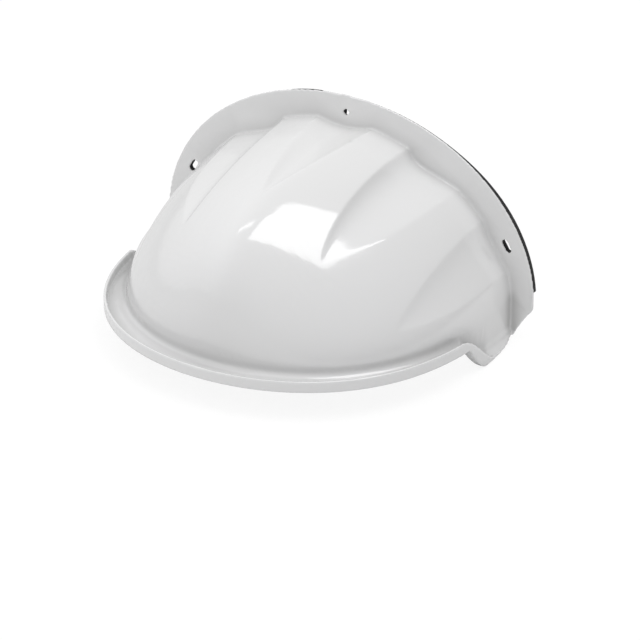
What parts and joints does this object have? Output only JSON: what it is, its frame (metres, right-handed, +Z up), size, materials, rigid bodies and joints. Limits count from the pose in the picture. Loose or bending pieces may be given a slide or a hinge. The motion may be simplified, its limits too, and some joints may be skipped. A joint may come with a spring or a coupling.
{
  "type": "security camera housing hood",
  "caption": "Fluted half-dome hood that shelters a wall-mounted outdoor camera from rain and sun, with a gutter round its foot that drains at the wall.",
  "frame": {"origin": "axis of the top screw hole where it meets the wall, which is the back of the foam strip", "axes": "+X along the wall, to the right seen from the front; +Y into the wall; +Z up, towards the crown of the flange"},
  "size_m": [0.4, 0.2637, 0.2032],
  "materials": {
    "white_plastic": "glossy moulded white",
    "black_foam": "closed-cell foam strip"
  },
  "bodies": {
    "root": {"hood_shell": "white_plastic", "wall_gasket": "black_foam"}
  },
  "joints": []
}
